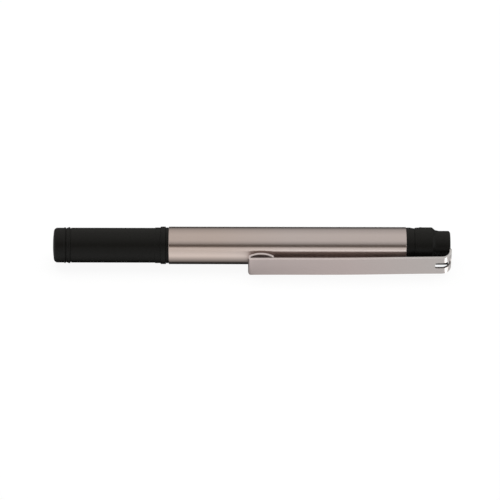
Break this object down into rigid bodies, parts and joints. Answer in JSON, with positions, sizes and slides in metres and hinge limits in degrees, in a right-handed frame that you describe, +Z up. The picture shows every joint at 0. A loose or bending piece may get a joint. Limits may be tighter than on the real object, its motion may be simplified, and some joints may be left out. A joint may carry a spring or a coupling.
{
  "type": "ballpoint pen",
  "caption": "Compact capped ballpoint pen lying on its side: black plastic pull-off cap and stepped tail, satin steel barrel and a folded sheet-steel pocket clip.",
  "frame": {"origin": "on the table under the middle of the pen's bounding box, with the pen lying on its barrel and on the lower edge of its clip", "axes": "+X along the pen from the cap's closed end to the tail, +Z up from the table, and the clip hangs over the -Y side"},
  "size_m": [0.1058, 0.013, 0.01],
  "materials": {
    "black_plastic": "satin moulded black plastic",
    "soft_plastic": "natural moulded plastic",
    "white_plastic": "white moulded plastic",
    "black_rubber": "matt black rubber",
    "satin_steel": "satin brushed stainless steel",
    "clip_steel": "satin stamped sheet steel",
    "brass": "drawn brass",
    "nickel_silver": "turned nickel silver",
    "ball_metal": "polished hard metal",
    "ink": "black paste ink",
    "grease": "clear follower grease",
    "spring_steel": "drawn spring wire"
  },
  "bodies": {
    "barrel": {"barrel_tube": "satin_steel", "barrel_insert": "brass", "rear_bushing": "black_plastic", "tail_plug": "black_plastic", "cushion_spring": "spring_steel"},
    "clip": {"clip": "clip_steel"},
    "refill": {"refill_tube": "brass", "tip_holder": "white_plastic", "refill_point": "nickel_silver", "ink_column": "ink", "ink_follower": "grease", "refill_end_plug": "soft_plastic"},
    "ball": {"point_ball": "ball_metal"},
    "front_section": {"section_core": "black_plastic", "grip_sleeve": "black_rubber", "nose_cone": "satin_steel", "cap_friction_ring": "black_rubber", "thread_seal_ring": "black_rubber"},
    "cap": {"cap_shell": "black_plastic", "cap_end_plug": "black_plastic", "cap_liner": "soft_plastic"}
  },
  "joints": [
    {"name": "refill_draw", "type": "slide", "parent": "barrel", "child": "refill", "axis": [-1, 0, 0], "range_m": [0, 0.0045]},
    {"name": "section_screw", "type": "hinge", "parent": "refill", "child": "front_section", "pos_m": [-0.0224, 0.00149, 0.00498], "axis": [-1, 0, 0], "range_deg": [0, 1081]},
    {"name": "cap_pull", "type": "slide", "parent": "front_section", "child": "cap", "axis": [-1, 0, 0], "range_m": [0, 0.032]},
    {"name": "clip_flex", "type": "hinge", "parent": "barrel", "child": "clip", "pos_m": [0.05265, -0.00036, 0.00454], "axis": [0, -0.2337, 0.9723], "range_deg": [0, 3], "stiffness_Nm_per_rad": 1},
    {"name": "ball_roll", "type": "hinge", "parent": "refill", "child": "ball", "pos_m": [-0.0499, 0.00149, 0.00498], "axis": [0, 1, 0], "continuous": true}
  ],
  "couplings": [
    {"joint": "section_screw", "follows": "refill_draw", "rad_per_m": 4188.8}
  ]
}
